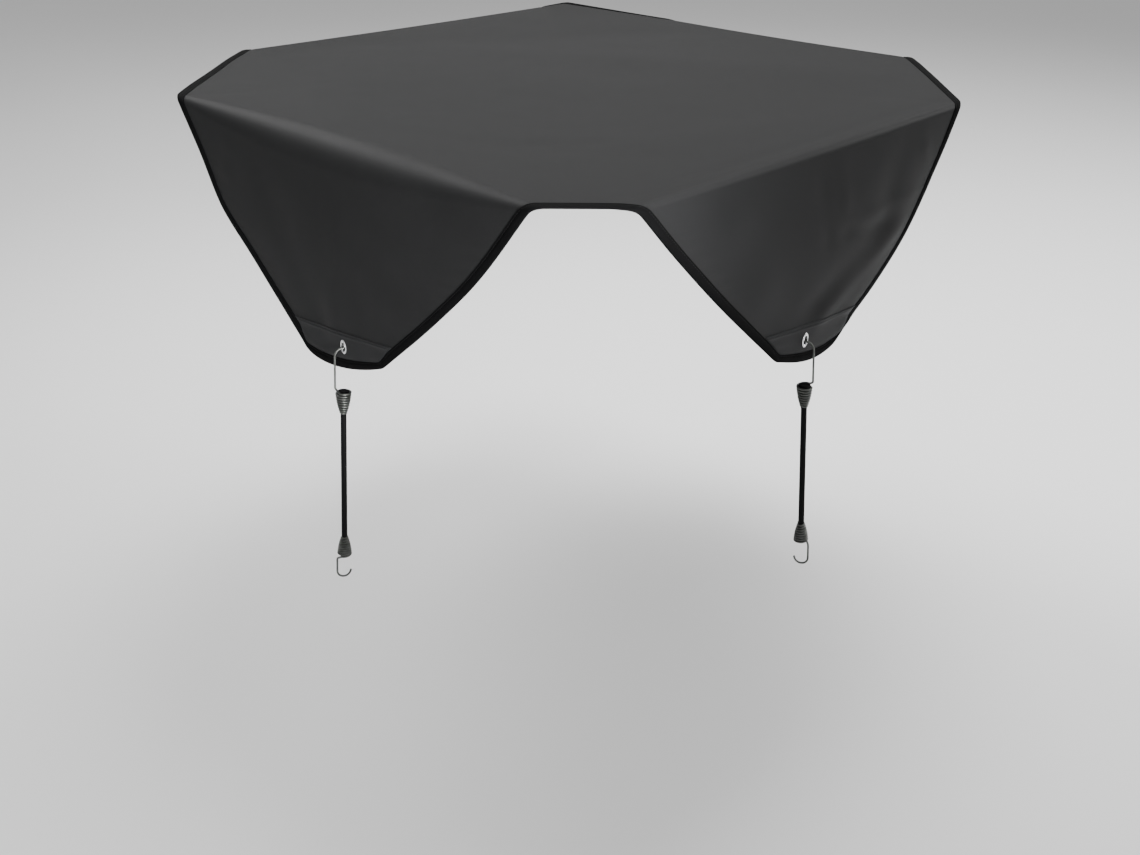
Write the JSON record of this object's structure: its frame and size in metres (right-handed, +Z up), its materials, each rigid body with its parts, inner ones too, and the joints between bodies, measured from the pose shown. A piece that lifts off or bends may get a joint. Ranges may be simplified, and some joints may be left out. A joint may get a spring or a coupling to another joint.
{
  "type": "fitted weather cover with hooked elastic cords for an outdoor air conditioner",
  "caption": "Fitted cloth cover with an octagonal top, tapering bound flaps, and a hooked elastic cord hanging from the eyelet in each flap's tip.",
  "frame": {"origin": "middle of the top, on the underside of the cloth", "axes": "+Z up out of the top, +X towards the east flap, -Y towards the south flap; the two flaps seen in the picture are south and east"},
  "size_m": [0.8679, 0.8513, 0.5032],
  "materials": {
    "coated_cloth": "dark grey coated weave, soft sheen",
    "binding_tape": "black woven tape, matte",
    "patch_cloth": "dark grey coated weave",
    "eyelet_metal": "bright pressed metal",
    "hook_wire": "drawn steel wire",
    "elastic_braid": "black braided sleeve over rubber"
  },
  "bodies": {
    "root": {"cover_cloth": "coated_cloth", "edge_binding": "binding_tape", "patch_south": "patch_cloth", "patch_east": "patch_cloth", "patch_north": "patch_cloth", "patch_west": "patch_cloth", "eyelet_south": "eyelet_metal", "eyelet_east": "eyelet_metal", "eyelet_north": "eyelet_metal", "eyelet_west": "eyelet_metal", "upper_hook_south": "hook_wire", "upper_hook_east": "hook_wire", "upper_hook_north": "hook_wire", "upper_hook_west": "hook_wire", "elastic_cord_south": "elastic_braid", "elastic_cord_east": "elastic_braid", "elastic_cord_north": "elastic_braid", "elastic_cord_west": "elastic_braid", "lower_hook_south": "hook_wire", "lower_hook_east": "hook_wire", "lower_hook_north": "hook_wire", "lower_hook_west": "hook_wire"}
  },
  "joints": []
}
